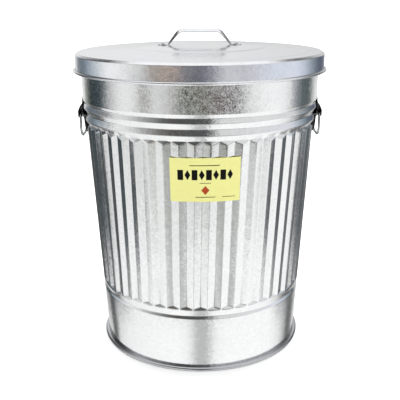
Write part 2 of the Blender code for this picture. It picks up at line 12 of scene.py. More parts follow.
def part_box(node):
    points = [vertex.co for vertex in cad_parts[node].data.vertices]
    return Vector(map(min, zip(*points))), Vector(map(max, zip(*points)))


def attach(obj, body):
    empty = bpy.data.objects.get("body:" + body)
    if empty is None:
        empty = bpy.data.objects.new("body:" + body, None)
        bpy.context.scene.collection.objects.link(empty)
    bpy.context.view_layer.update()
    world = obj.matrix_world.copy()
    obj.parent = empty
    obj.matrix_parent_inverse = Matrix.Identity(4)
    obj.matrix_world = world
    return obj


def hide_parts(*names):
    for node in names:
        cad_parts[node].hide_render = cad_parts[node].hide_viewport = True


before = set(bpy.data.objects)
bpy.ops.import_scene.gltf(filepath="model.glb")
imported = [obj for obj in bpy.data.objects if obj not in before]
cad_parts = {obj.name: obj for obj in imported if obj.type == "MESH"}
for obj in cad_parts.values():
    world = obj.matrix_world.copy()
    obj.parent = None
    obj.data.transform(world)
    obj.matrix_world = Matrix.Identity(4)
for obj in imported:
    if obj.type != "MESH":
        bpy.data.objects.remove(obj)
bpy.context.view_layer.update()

# ---------------------------------------------------------------- sizes from the frame
can_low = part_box("body_shell")[0]
hoop_low, hoop_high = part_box("foot_hoop")
pan_low, pan_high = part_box("bottom_pan")
lid_low, lid_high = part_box("lid_shell")
handle_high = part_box("lid_handle")[1]
label_low, label_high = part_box("front_label")
wire_low, wire_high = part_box("rim_wire")

SHEET = 0.0005              # thickness of the can and lid sheet
GAP = 0.0003                # clearance between pieces that touch

# The can: a straight taper with pleats between two plain bands
FLUTES = 50
PITCH = 2.0 * math.pi / FLUTES
CREST_BOTTOM = math.radians(-3.9)     # azimuth of one crest at the pleats' lower end
CREST_TOP = math.radians(-2.3)        # azimuth of the same crest at their upper end
FLUTE_DEPTH = 0.0025
FLUTE_END = 0.0050                    # height of the facets that close the pleats at the top
FLUTE_FOOT = 0.0036                   # the same at the bottom
FLUTE_BOTTOM_Z = 0.1068
FLUTE_TOP_Z = 0.3740
PLEAT_BLEND = 0.0006                  # depth over which a pleat's end fades into its folds
CREASE = 0.036                        # share of the pitch over which a fold is rounded
FLAT_MARGIN = 0.085                   # share of the pitch from a fold to the flat of its wall
FOOT_RADIUS = 0.1640
TAPER = 0.0573
LOWER_GROOVE = (                      # offset from the taper, height
    (0.0, 0.0903),
    (-0.0023, 0.0951),
    (0.0, 0.1039),
)
BAND_RADIUS = 0.1903
UPPER_RINGS = (                       # radius, height
    (0.1886, 0.3820),
    (0.1860, 0.3920),
    (0.1902, 0.4000),
    (0.1876, 0.4078),
    (BAND_RADIUS, 0.4130),
)
RING_FOLD = 0.0030                    # radius of the folds in the swaged rings
RIM_WIRE_RADIUS = (wire_high.z - wire_low.z) / 2.0
RIM_CENTRE = (BAND_RADIUS + RIM_WIRE_RADIUS + GAP, (wire_high.z + wire_low.z) / 2.0)
CURL_SWEEP = 300                      # degrees that a rolled edge turns round its wire
RIM_WIRE_SIDES = 160

# The lapped seam at the back
SEAM_HALF_WIDTH = 0.0045
SEAM_SHOULDER = 0.86                  # share of its half width over which the seam is full height
SEAM_EDGE_LIFT = 0.0001
SEAM_BACK_LIFT = 0.00002

# The foot
HOOP_CORNER_LEAN = math.radians(0.3)  # from the X axis to the nearest corner of the CAD hoop
HOOP_WALL = 0.0011                    # between the hoop's slot and its inner face
HOOP_EDGE = 0.0004
HOOP_SIDES = 256
PAN_PLAY = 0.0007                     # between the pan's edge and the can's foot radius
SLOT_PLAY = 0.0001
PAN_RELIEF = 0.0012                   # depth of the rings pressed into the pan
PAN_RING_RADII = (0.050, 0.054, 0.112, 0.116, 0.146, 0.150)
PAN_BORDER = 0.0020
PAN_DROP = 0.0025
PAN_FOLD = 0.0025
PAN_SIDES = 192

# The lid
CROWN_Z = lid_high.z
LID_WIRE_RADIUS = 0.0015
SKIRT_RADIUS = lid_high.x - 2.0 * LID_WIRE_RADIUS - 2.0 * GAP - SHEET
HEM_CENTRE = (SKIRT_RADIUS + LID_WIRE_RADIUS + GAP, lid_low.z + LID_WIRE_RADIUS + GAP + SHEET)
LID_TOP = (                           # radius, depth below the crown
    (0.0720, 0.0),
    (0.1040, 0.0019),
    (0.1072, 0.0031),
    (0.1105, 0.0033),
    (0.1762, 0.0066),
    (0.1790, 0.0072),
    (0.1890, 0.0079),
    (0.1950, 0.0083),
    (SKIRT_RADIUS, 0.0117),
)
LID_FOLD = 0.0012
LID_SIDES = 288
HEM_WIRE_SIDES = 180

# The lid handle
STRAP_THICKNESS = 0.0010
STRAP_WIDTH = 0.0180
STRAP_FOOT_WIDTH = 0.0200
STRAP_RISE = 0.0045                   # depth of the strap's curved section
STRAP_ROOT_RISE = 0.0022              # the same at the foot of each leg
STRAP_TOP_CORNER_X = 0.0340
STRAP_FOOT_CORNER_X = 0.0525
STRAP_TOP_BEND = 0.0160
STRAP_FOOT_BEND = 0.0040
STRAP_TIP_SHARE = 0.12                # width of the foot's point, as a share of the foot's width
STRAP_POINT_SHARE = 0.7               # share of the foot's length over which it widens
STRAP_EDGE = 0.00035

# The side brackets and bails
BRACKET_SHEET = 0.0010
PLATE_RADIUS = 0.18895
PLATE_Z = 0.3820
PLATE_SLOPE = 0.0917
PLATE_TIP = 0.0020
PLATE_EDGE = 0.0003
HOOD_HALF_LENGTH = 0.025
HOOD_FRONT_X = 0.1976
HOOD_BROW_BACK = 0.0032               # how far the hood's brow lies behind its front
HOOD_BROW_DROP = 0.0058               # and below the hood's root
HOOD_FRONT_RISE = 0.0062              # how far the flat front reaches above the bail's axis
HOOD_ROOT_Z = 0.4045
HOOD_ROOT_DEPTH = 0.0022
HOOD_FLOOR_Z = 0.3810
HOOD_BEND = 0.0022
BAIL_AXIS_X = 0.1928
BAIL_AXIS_Z = 0.3850
BAIL_TOP_CORNER = 0.0050
BAIL_GRIP_CORNER = 0.0180

# Rivets and washers
SHANK_RADIUS = 0.0015
HOLE_RADIUS = 0.0018
HEAD_HEIGHT = 0.0015
HEAD_EDGE = 0.15                      # height of the head's rim, as a share of the head's height
TAIL_HEIGHT = 0.0012
TAIL_SHARE = 0.74                     # radius of the tail, as a share of the head's radius
TAIL_CHAMFER = 0.8                    # share of the tail's radius left at its end
WASHER_THICKNESS = 0.0010
WASHER_EDGE = 0.18                    # its softened edge, as a share of its thickness
FIXING_SIDES = 32

WIRE_SIDES = 16                       # round the section of every wire
SMOOTH_ANGLE = 35.0                   # degrees between faces, past which an edge stays sharp
ON_AXIS = 1e-6                        # radius under which a ring of points is a single point

SIDES = {"left": -1, "right": 1}
BAIL_BODY = {"left": "bail_l", "right": "bail_r"}


# ---------------------------------------------------------------- shader helpers
def add_node(tree, kind, inputs=(), **settings):
    """A shader node with its settings, and its inputs set to values or linked to sockets."""
    made = tree.nodes.new(kind)
    for key, value in settings.items():
        setattr(made, key, value)
    for key, value in dict(inputs).items():
        if isinstance(value, bpy.types.NodeSocket):
            tree.links.new(value, made.inputs[key])
        else:
            made.inputs[key].default_value = value
    return made


def maths(tree, operation, first, second=0.0, third=0.0):
    """The result of a maths node on values or sockets."""
    inputs = {0: first, 1: second, 2: third}
    return add_node(tree, "ShaderNodeMath", inputs, operation=operation).outputs[0]


def blend_colour(tree, share, first, second):
    """A colour between two values or sockets: the second's share goes from 0 to 1."""
    mix = add_node(tree, "ShaderNodeMix", data_type="RGBA")
    for key, value in ((0, share), (6, first), (7, second)):
        if isinstance(value, bpy.types.NodeSocket):
            tree.links.new(value, mix.inputs[key])
        else:
            mix.inputs[key].default_value = value
    return mix.outputs[2]


def stretch(tree, value, old_range, new_range):
    """A value moved from one range to another, and kept inside it."""
    inputs = {"Value": value, "From Min": old_range[0], "From Max": old_range[1],
              "To Min": new_range[0], "To Max": new_range[1]}
    return add_node(tree, "ShaderNodeMapRange", inputs).outputs[0]


def grey(value):
    """An opaque grey."""
    return (value, value, value, 1.0)


def dimmed(tint, factor):
    """An opaque colour made darker or lighter by a factor, up to full brightness."""
    return tuple(min(1.0, part * factor) for part in tint) + (1.0,)


def bump(tree, height, strength, distance, normal=None):
    """The normal of a surface with a fine relief, in metres."""
    inputs = {"Height": height, "Strength": strength, "Distance": distance}
    if normal is not None:
        inputs["Normal"] = normal
    return add_node(tree, "ShaderNodeBump", inputs).outputs[0]


def start_material(name):
    """A new material, its tree, its shader and the object coordinates in metres."""
    material = bpy.data.materials.new(name)
    material.use_nodes = True
    tree = material.node_tree
    shader = tree.nodes["Principled BSDF"]
    place = add_node(tree, "ShaderNodeTexCoord").outputs["Object"]
    return material, tree, shader, place


def finish_shader(tree, shader, colour, rough, normal):
    """Link a shader's colour, roughness and normal."""
    tree.links.new(colour, shader.inputs["Base Color"])
    tree.links.new(rough, shader.inputs["Roughness"])
    tree.links.new(normal, shader.inputs["Normal"])


def noise(tree, place, size, detail=3.0):
    """Noise from 0 to 1 whose features are about one size across, in metres."""
    inputs = {"Vector": place, "Scale": 1.0 / size, "Detail": detail, "Roughness": 0.55}
    return add_node(tree, "ShaderNodeTexNoise", inputs).outputs["Fac"]


def crystals(tree, place, size):
    """Random colours in cells of about one size across, in metres."""
    inputs = {"Vector": place, "Scale": 1.0 / size, "Randomness": 1.0}
    return add_node(tree, "ShaderNodeTexVoronoi", inputs).outputs["Color"]


def tilt_normal(tree, tilts):
    """The surface normal leaned by random colours, each with its own share."""
    normal = add_node(tree, "ShaderNodeNewGeometry").outputs["Normal"]
    for colour, share in tilts:
        centred = add_node(tree, "ShaderNodeVectorMath", {0: colour, 1: (0.5, 0.5, 0.5)},
                           operation="SUBTRACT").outputs[0]
        lean = add_node(tree, "ShaderNodeVectorMath", {0: centred, "Scale": share},
                        operation="SCALE").outputs[0]
        normal = add_node(tree, "ShaderNodeVectorMath", {0: normal, 1: lean},
                          operation="ADD").outputs[0]
    return add_node(tree, "ShaderNodeVectorMath", {0: normal}, operation="NORMALIZE").outputs[0]


# ---------------------------------------------------------------- materials
def galvanised(name, tint, roughness, spangle):
    """Hot-dip galvanised sheet: zinc crystals that each catch the light their own way."""
    material, tree, shader, place = start_material(name)
    fine = crystals(tree, place, size=0.0013)
    coarse = crystals(tree, place, size=0.0045)
    waves = add_node(tree, "ShaderNodeTexNoise", {"Vector": place, "Scale": 9.0, "Detail": 1.0})
    fine_value = add_node(tree, "ShaderNodeSeparateColor", {0: fine}).outputs[0]
    coarse_value = add_node(tree, "ShaderNodeSeparateColor", {0: coarse}).outputs[1]
    cloud = noise(tree, place, size=0.045)
    grain = noise(tree, place, size=0.0012, detail=2.0)

    fine_share = maths(tree, "MULTIPLY", fine_value, 0.6)
    coarse_share = maths(tree, "MULTIPLY", coarse_value, 0.4)
    crystal = maths(tree, "ADD", fine_share, coarse_share)
    colour = blend_colour(tree, crystal, dimmed(tint, 0.90), dimmed(tint, 1.05))
    bloom = stretch(tree, cloud, (0.45, 0.75), (0.0, 0.35))
    bloom_tint = (tint[0] * 0.93, tint[1] * 0.95, tint[2] * 0.96, 1.0)
    colour = blend_colour(tree, bloom, colour, bloom_tint)
    crystal_rough = stretch(tree, crystal, (0.0, 1.0), (roughness - 0.05, roughness + 0.06))
    cloud_rough = stretch(tree, cloud, (0.3, 0.8), (-0.015, 0.04))
    rough = maths(tree, "ADD", crystal_rough, cloud_rough)
    tilted = tilt_normal(tree, ((fine, spangle), (coarse, spangle * 0.5),
                                (waves.outputs["Color"], 0.030)))
    normal = bump(tree, grain, strength=0.06, distance=0.0004, normal=tilted)
    finish_shader(tree, shader, colour, rough, normal)
    shader.inputs["Metallic"].default_value = 1.0
    return material


def zinc(name, tint, roughness):
    """Zinc-coated wire and rivets: drawn metal with dull bloom in places."""
    material, tree, shader, place = start_material(name)
    cloud = noise(tree, place, size=0.008)
    grain = noise(tree, place, size=0.0007, detail=2.0)
    bloom = stretch(tree, cloud, (0.35, 0.7), (0.0, 1.0))
    colour = blend_colour(tree, bloom, dimmed(tint, 1.1), dimmed(tint, 0.68))
    rough = stretch(tree, cloud, (0.3, 0.75), (roughness - 0.06, roughness + 0.14))
    normal = bump(tree, grain, strength=0.12, distance=0.0003)
    finish_shader(tree, shader, colour, rough, normal)
    shader.inputs["Metallic"].default_value = 1.0
    return material


def black_enamel(name):
    """Black stoving enamel with a slight orange peel and dusty rubbed patches."""
    material, tree, shader, place = start_material(name)
    peel = noise(tree, place, size=0.0016, detail=1.0)
    dust = noise(tree, place, size=0.012)
    dusty = stretch(tree, dust, (0.5, 0.8), (0.0, 0.6))
    colour = blend_colour(tree, dusty, grey(0.002), grey(0.008))
    rough = stretch(tree, dust, (0.3, 0.8), (0.42, 0.60))
    normal = bump(tree, peel, strength=0.10, distance=0.0004)
    finish_shader(tree, shader, colour, rough, normal)
    shader.inputs["Specular IOR Level"].default_value = 0.12
    return material


def print_stock(name, tint, spread, roughness):
    """Printed film: one ink or ground colour with faint mottle."""
    material, tree, shader, place = start_material(name)
    mottle = noise(tree, place, size=0.004)
    fibre = noise(tree, place, size=0.0006, detail=2.0)
    deep = stretch(tree, mottle, (0.3, 0.7), (0.0, 1.0))
    colour = blend_colour(tree, deep, (*tint, 1.0), dimmed(tint, 1.0 - spread))
    rough = stretch(tree, mottle, (0.3, 0.7), (roughness - 0.05, roughness + 0.05))
    normal = bump(tree, fibre, strength=0.05, distance=0.0002)
    finish_shader(tree, shader, colour, rough, normal)
    shader.inputs["Specular IOR Level"].default_value = 0.15
    return material


# ---------------------------------------------------------------- outlines
SIDE_SHARE = 0.45                     # the most of a side that one rounded corner may take up


def arc(centre, radius, start, end, steps):
    """Points on an arc from start to end, in degrees from the first axis."""
    points = []
    for step in range(steps + 1):
        angle = math.radians(start + (end - start) * step / steps)
        points.append((centre[0] + radius * math.cos(angle), centre[1] + radius * math.sin(angle)))
    return points


def wire_section(centre, radius):
    """The round section of a wire."""
    return arc(centre, radius, 0.0, 360.0 * (1.0 - 1.0 / WIRE_SIDES), WIRE_SIDES - 1)


def round_corners(points, radius, steps):
    """An open outline with each corner between its ends rounded, by less on short sides."""
    rounded = [points[0]]
    for before, corner, after in zip(points, points[1:], points[2:]):
        corner = Vector(corner)
        back = Vector(before) - corner
        on = Vector(after) - corner
        reach = radius / math.tan(back.angle(on) / 2.0)
        reach = min(reach, SIDE_SHARE * back.length, SIDE_SHARE * on.length)
        start = corner + back.normalized() * reach
        end = corner + on.normalized() * reach
        for step in range(steps + 1):
            share = step / steps
            point = start.lerp(corner, share).lerp(corner.lerp(end, share), share)
            rounded.append((point.x, point.y))
    rounded.append(points[-1])
    return rounded


def offset_line(points, distance):
    """Shift an open outline sideways by a distance, to its left for a positive one."""
    shifted = []
    last = len(points) - 1
    for index, point in enumerate(points):
        here = Vector(point)
        incoming = here - Vector(points[index - 1]) if index > 0 else Vector(points[1]) - here
        outgoing = Vector(points[index + 1]) - here if index < last else incoming
        left_in = Vector((-incoming.y, incoming.x)).normalized()
        left_out = Vector((-outgoing.y, outgoing.x)).normalized()
        miter = (left_in + left_out).normalized()
        here = here + miter * distance / miter.dot(left_in)
        shifted.append((here.x, here.y))
    return shifted


def path_corner(before, corner, after, radius, steps):
    """Points of an arc of the given radius that rounds off one corner of a path."""
    corner = Vector(corner)
    to_before = (Vector(before) - corner).normalized()
    to_after = (Vector(after) - corner).normalized()
    half_turn = to_before.angle(to_after) / 2.0
    centre = corner + (to_before + to_after).normalized() * radius / math.sin(half_turn)
    start = (corner + to_before * radius / math.tan(half_turn) - centre).normalized()
    end = (corner + to_after * radius / math.tan(half_turn) - centre).normalized()
    return [centre + start.slerp(end, step / steps) * radius for step in range(steps + 1)]


# ---------------------------------------------------------------- meshes
def at_azimuth(radius, azimuth, height):
    """A point round the can's axis: azimuth 0 is the front (-Y), 90 degrees is +X."""
    return (radius * math.sin(azimuth), -radius * math.cos(azimuth), height)


def loop_faces(first, second):
    """Faces between two closed loops of vertex numbers; a loop may be a single vertex."""
    if len(first) == 1 and len(second) == 1:
        return []
    if len(first) == 1:
        first, second = second, first
    count = len(first)
    if len(second) == 1:
        return [(first[k], first[(k + 1) % count], second[0]) for k in range(count)]
    return [(first[k], first[(k + 1) % count], second[(k + 1) % count], second[k])
            for k in range(count)]


def skin(rings, closed):
    """The surface through rings of points: closed on itself, or capped at its two ends."""
    vertices = []
    loops = []
    for ring in rings:
        loops.append(list(range(len(vertices), len(vertices) + len(ring))))
        vertices += ring
    faces = []
    for first, second in zip(loops, loops[1:]):
        faces += loop_faces(first, second)
    if closed:
        faces += loop_faces(loops[-1], loops[0])
    else:
        faces += [tuple(loops[0]), tuple(loops[-1])]
    return vertices, faces


def turned(outline, sides):
    """The surface of a closed outline of (radius, height) points turned about the Z axis."""
    rings = []
    for radius, height in outline:
        if radius < ON_AXIS:
            rings.append([(0.0, 0.0, height)])
        else:
            rings.append([at_azimuth(radius, 2.0 * math.pi * side / sides, height)
                          for side in range(sides)])
    return skin(rings, closed=True)


def merge(parts):
    """Several (vertices, faces) pairs as one."""
    vertices = []
    faces = []
    for part_vertices, part_faces in parts:
        start = len(vertices)
        vertices += part_vertices
        faces += [tuple(start + corner for corner in face) for face in part_faces]
    return vertices, faces


def moved(part, matrix):
    """A (vertices, faces) pair with its points moved by a matrix."""
    vertices, faces = part
    return [tuple(matrix @ Vector(vertex)) for vertex in vertices], faces


def new_mesh_object(name, part, material, smooth_angle):
    """An object with outward faces, smooth except at folds sharper than the angle."""
    vertices, faces = part
    mesh = bpy.data.meshes.new(name)
    mesh.from_pydata(vertices, [], faces)
    bm = bmesh.new()
    bm.from_mesh(mesh)
    bmesh.ops.recalc_face_normals(bm, faces=bm.faces)
    bm.to_mesh(mesh)
    bm.free()
    mesh.shade_smooth()
    mesh.set_sharp_from_angle(angle=math.radians(smooth_angle))
    mesh.materials.append(material)
    item = bpy.data.objects.new(name, mesh)
    bpy.context.scene.collection.objects.link(item)
    return item


def soften_edges(item, width, angle):
    """Bevel an object's edges where its faces meet at more than an angle in degrees."""
    soft = item.modifiers.new("soft_edges", "BEVEL")
    soft.width = width
    soft.segments = 2
    soft.limit_method = "ANGLE"
    soft.angle_limit = math.radians(angle)


def piece(name, part, material, body, nodes=(), smooth_angle=SMOOTH_ANGLE):
    """A finished piece that rides on a body and stands for some CAD nodes."""
    item = new_mesh_object(name, part, material, smooth_angle)
    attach(item, body)
    if nodes:
        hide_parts(*nodes)
    return item


# ---------------------------------------------------------------- the can
def can_radius(height):
    """Outer radius of the can's straight taper at a height."""
    return FOOT_RADIUS + TAPER * height


def crest_azimuth(height):
    """Azimuth of the first pleat's crest at a height: the pleats lean slightly."""
    share = (height - FLUTE_BOTTOM_Z) / (FLUTE_TOP_Z - FLUTE_BOTTOM_Z)
    share = min(1.0, max(0.0, share))
    return CREST_BOTTOM + (CREST_TOP - CREST_BOTTOM) * share


def fold_depth(share):
    """How far a pleat lies below its crest, from 0 to 1, at a share of the pitch from it."""
    from_crest = min(share, 1.0 - share)
    if from_crest < CREASE:
        depth = (from_crest ** 2 + CREASE ** 2) / CREASE
    elif from_crest > 0.5 - CREASE:
        depth = 1.0 - ((0.5 - from_crest) ** 2 + CREASE ** 2) / CREASE
    else:
        depth = 2.0 * from_crest
    return (depth - CREASE) / (1.0 - 2.0 * CREASE)


def soft_least(first, second, blend):
    """The lesser of two lengths, with the corner between them rounded."""
    gap = max(blend - abs(first - second), 0.0) / blend
    return min(first, second) - gap * gap * blend / 4.0


def pleat_depth(share, height):
    """Depth of the pleated wall below the taper: each pleat is closed by a facet at its ends."""
    fold = FLUTE_DEPTH * fold_depth(share)
    lower = FLUTE_DEPTH * (height - FLUTE_BOTTOM_Z) / FLUTE_FOOT
    upper = FLUTE_DEPTH * (1.0 - (FLUTE_TOP_Z - height) / FLUTE_END)
    closed_below = soft_least(fold, lower, PLEAT_BLEND)
    return -soft_least(-closed_below, -upper, PLEAT_BLEND)


def pleat_shares():
    """Places across one pleat, close together at its folds."""
    quarter = (0.0, CREASE / 2.0, CREASE, FLAT_MARGIN, 0.25)
    half = quarter + tuple(0.5 - share for share in quarter[-2::-1])
    return half + tuple(1.0 - share for share in half[-2:0:-1])


def can_ring(radius, height):
    """A ring of the can's wall, with a vertex at each place across each pleat."""
    pleated = FLUTE_BOTTOM_Z < height < FLUTE_TOP_Z
    ring = []
    for flute in range(FLUTES):
        for share in pleat_shares():
            depth = pleat_depth(share, height) if pleated else 0.0
            azimuth = crest_azimuth(height) + PITCH * (flute + share)
            ring.append(at_azimuth(radius - depth, azimuth, height))
    return ring


def can_wall():
    """The can's outer outline in three parts: below its pleats, along them and above them."""
    lower = [(can_radius(can_low.z), can_low.z)]
    lower += [(can_radius(height) + offset, height) for offset, height in LOWER_GROOVE]
    lower.append((can_radius(FLUTE_BOTTOM_Z), FLUTE_BOTTOM_Z))
    pleats = []
    end_steps = 6
    for step in range(1, end_steps + 2):
        pleats.append(FLUTE_BOTTOM_Z + FLUTE_FOOT * step / end_steps)
    middle_steps = 6
    start = pleats[-1]
    span = FLUTE_TOP_Z - FLUTE_END * (end_steps + 1) / end_steps - start
    for step in range(1, middle_steps):
        pleats.append(start + span * step / middle_steps)
    for step in range(end_steps + 1, 0, -1):
        pleats.append(FLUTE_TOP_Z - FLUTE_END * step / end_steps)
    upper = [(can_radius(FLUTE_TOP_Z) - FLUTE_DEPTH, FLUTE_TOP_Z), *UPPER_RINGS]
    upper.append((BAND_RADIUS, RIM_CENTRE[1]))
    lower = round_corners(lower, RING_FOLD, steps=3)
    upper = round_corners(upper, RING_FOLD, steps=3)
    return lower, [(can_radius(height), height) for height in pleats], upper


def build_can(sheet_steel, wire):
    """The can's pleated sheet with its rolled rim, and the wire inside the roll."""
    lower, pleats, upper = can_wall()
    curl_radius = RIM_WIRE_RADIUS + GAP
    wire_side = arc(RIM_CENTRE, curl_radius, 180, 180 - CURL_SWEEP, WIRE_SIDES)[1:]
    outside = arc(RIM_CENTRE, curl_radius + SHEET, 180 - CURL_SWEEP, 180, WIRE_SIDES)
    inner_upper = offset_line(upper, SHEET)[::-1][1:]
    inner_pleats = [(radius - SHEET, height) for radius, height in pleats[::-1]]
    inner_lower = offset_line(lower, SHEET)[::-1]
    outline = lower + pleats + upper + wire_side + outside + inner_upper + inner_pleats + inner_lower
    part = skin([can_ring(radius, height) for radius, height in outline], closed=True)
    piece("can_pleated_sheet", part, sheet_steel, "can", ["body_shell"],
          smooth_angle=50.0)

    wire_ring = turned(wire_section(RIM_CENTRE, RIM_WIRE_RADIUS), RIM_WIRE_SIDES)
    piece("can_rim_wire", wire_ring, wire, "can", ["rim_wire"], smooth_angle=60.0)


def build_side_seam(sheet_steel):
    """The lapped seam that closes the can's sheet, up the back of each plain band."""
    half_angle = SEAM_HALF_WIDTH / BAND_RADIUS
    section = (                       # share of the half width, height above the sheet
        (-1.0, SEAM_EDGE_LIFT),
        (-SEAM_SHOULDER, SHEET),
        (SEAM_SHOULDER, SHEET),
        (1.0, SEAM_EDGE_LIFT),
        (1.0, SEAM_BACK_LIFT),
        (-1.0, SEAM_BACK_LIFT),
    )
    lower, _, upper = can_wall()
    bands = [[point for point in lower if point[1] > hoop_high.z + GAP],
             [point for point in upper if point[1] < lid_low.z]]
    parts = []
    for band in bands:
        rings = []
        for radius, height in band:
            rings.append([at_azimuth(radius + lift, math.pi + half_angle * share, height)
                          for share, lift in section])
        parts.append(skin(rings, closed=False))
    piece("can_side_seam", merge(parts), sheet_steel, "can")


def build_foot(sheet_steel):
    """The rolled foot hoop and the raised bottom pan."""
    bead = (hoop_high.z - hoop_low.z) / 2.0
    bead_r = (hoop_high.x - hoop_low.x) / 2.0 / math.cos(HOOP_CORNER_LEAN) - bead
    slot_z = can_low.z - 2.0 * GAP
    slot_outer = can_radius(slot_z) + GAP
    pan_radius = FOOT_RADIUS - PAN_PLAY
    slot_inner = pan_radius - SHEET - GAP - SLOT_PLAY
    inner = slot_inner - HOOP_WALL
    outline = [(inner + HOOP_EDGE, hoop_low.z)]
    outline += arc((bead_r, hoop_low.z + bead), bead, -90, 90, 18)
    outline += [
        (can_radius(hoop_high.z) + 2.0 * GAP, hoop_high.z),
        (can_radius(hoop_high.z) + GAP, hoop_high.z - GAP),
        (slot_outer, slot_z),
        (slot_inner, slot_z),
        (slot_inner, hoop_high.z - GAP),
        (slot_inner - GAP, hoop_high.z),
        (inner + GAP, hoop_high.z),
        (inner, hoop_high.z - GAP),
        (inner, hoop_low.z + HOOP_EDGE),
    ]
    piece("foot_hoop_rolled", turned(outline, HOOP_SIDES), sheet_steel, "can",
          ["foot_hoop"], smooth_angle=30.0)

    top = pan_high.z
    sunk = top - PAN_RELIEF
    upper = [(0.0, sunk)]
    upper += zip(PAN_RING_RADII, (sunk, top, top, sunk, sunk, top))
    upper += [(pan_radius - PAN_BORDER, top), (pan_radius, top - PAN_DROP), (pan_radius, pan_low.z)]
    upper = round_corners(upper, PAN_FOLD, steps=4)
    under = offset_line(upper, -SHEET)[::-1]
    under[-1] = (0.0, sunk - SHEET)
    piece("bottom_pan_pressed", turned(upper + under, PAN_SIDES), sheet_steel, "can",
          ["bottom_pan"], smooth_angle=40.0)


# ---------------------------------------------------------------- the label
LABEL_AZIMUTH = math.asin((label_low.x + label_high.x) / 2.0 / can_radius(label_low.z))
LABEL_SPREAD = 1.01                   # widens the film slightly
LABEL_HALF_ANGLE = LABEL_SPREAD * math.asin((label_high.x - label_low.x) / 2.0
                                            / can_radius(label_low.z))
LABEL_COLUMNS = 40
FILM_THICKNESS = 0.00022
INK_THICKNESS = 0.00003
PRINT_LIFT = GAP + FILM_THICKNESS + INK_THICKNESS
FRIEZE_LEFT = 0.10                    # the print, in shares of the label's width and height
FRIEZE_RIGHT = 0.90
FRIEZE_MIDDLE = 0.617
FRIEZE_HALF_HEIGHT = 0.115
FRIEZE_BLOCKS = 8
BLOCK_SHARE = 0.80                    # width of a block, as a share of the frieze's pitch
DIAMOND_TIP = 0.02                    # height left at a diamond's side corners, as a share
RED_MARK_CENTRE = (0.5, 0.265)
RED_MARK_HALF_SIZE = (0.058, 0.105)
LABEL_RULES = (                       # left, right, bottom, top
    (0.28, 0.70, 0.822, 0.840),
    (0.42, 0.58, 0.425, 0.437),
    (0.36, 0.64, 0.100, 0.115),
    (0.74, 0.93, 0.100, 0.112),
)


def label_column(across, bottom, top, lift, thickness):
    """One upright section of a patch on the label, at a share of the label's width."""
    azimuth = LABEL_AZIMUTH + LABEL_HALF_ANGLE * (2.0 * across - 1.0)
    ring = []
    for up, layer in ((bottom, 0), (top, 0), (top, 1), (bottom, 1)):
        height = label_low.z + (label_high.z - label_low.z) * up
        radius = can_radius(height) + lift + thickness * layer
        ring.append(at_azimuth(radius, azimuth, height))
    return ring


def label_patch(left, right, bottom, top, lift, thickness):
    """A curved patch of the label: its sides as shares of the label's width and height."""
    columns = max(2, round((right - left) * LABEL_COLUMNS))
    rings = []
    for column in range(columns + 1):
        across = left + (right - left) * column / columns
        rings.append(label_column(across, bottom, top, lift, thickness))
    return skin(rings, closed=False)


def label_diamond(centre, half_size):
    """A diamond printed on the label, in columns that follow its curve."""
    columns = 12
    rings = []
    for column in range(columns + 1):
        side = 2.0 * column / columns - 1.0
        reach = half_size[1] * max(1.0 - abs(side), DIAMOND_TIP)
        rings.append(label_column(centre[0] + half_size[0] * side, centre[1] - reach,
                                  centre[1] + reach, PRINT_LIFT, INK_THICKNESS))
    return skin(rings, closed=False)


def build_label(ground, dark_ink, red_ink):
    """The front label: a pale film with a plain printed frieze, rules and a diamond."""
    film = label_patch(0.0, 1.0, 0.0, 1.0, GAP, FILM_THICKNESS)
    piece("label_film", film, ground, "can", ["front_label"], smooth_angle=30.0)
    marks = []
    pitch = (FRIEZE_RIGHT - FRIEZE_LEFT) / FRIEZE_BLOCKS
    half = pitch * BLOCK_SHARE / 2.0
    low = FRIEZE_MIDDLE - FRIEZE_HALF_HEIGHT
    high = FRIEZE_MIDDLE + FRIEZE_HALF_HEIGHT
    for block in range(FRIEZE_BLOCKS):
        middle = FRIEZE_LEFT + pitch * (block + 0.5)
        if block % 2:
            marks.append(label_diamond((middle, FRIEZE_MIDDLE), (half, FRIEZE_HALF_HEIGHT)))
        else:
            marks.append(label_patch(middle - half, middle + half, low, high, PRINT_LIFT,
                                     INK_THICKNESS))
    for rule in LABEL_RULES:
        marks.append(label_patch(*rule, PRINT_LIFT, INK_THICKNESS))
    piece("label_dark_print", merge(marks), dark_ink, "can")
    red_mark = label_diamond(RED_MARK_CENTRE, RED_MARK_HALF_SIZE)
    piece("label_red_mark", red_mark, red_ink, "can")


# ---------------------------------------------------------------- the lid
def build_lid(sheet_steel, wire):
    """The lid's sheet with its rolled hem, and the wire inside the hem."""
    upper = [(0.0, CROWN_Z)] + [(radius, CROWN_Z - drop) for radius, drop in LID_TOP]
    upper.append((SKIRT_RADIUS, HEM_CENTRE[1]))
    upper = round_corners(upper, LID_FOLD, steps=4)
    under = offset_line(upper, -SHEET)[::-1]
    under[-1] = (0.0, CROWN_Z - SHEET)
    curl_radius = LID_WIRE_RADIUS + GAP
    wire_side = arc(HEM_CENTRE, curl_radius, 180, 180 + CURL_SWEEP, WIRE_SIDES)[1:]
    outside = arc(HEM_CENTRE, curl_radius + SHEET, 180 + CURL_SWEEP, 180, WIRE_SIDES)
    outline = upper + wire_side + outside + under[1:]
    piece("lid_pressed_sheet", turned(outline, LID_SIDES), sheet_steel, "lid",
          ["lid_shell"], smooth_angle=40.0)
    wire_ring = turned(wire_section(HEM_CENTRE, LID_WIRE_RADIUS), HEM_WIRE_SIDES)
    piece("lid_hem_wire", wire_ring, wire, "lid", ["lid_edge_wire"], smooth_angle=60.0)


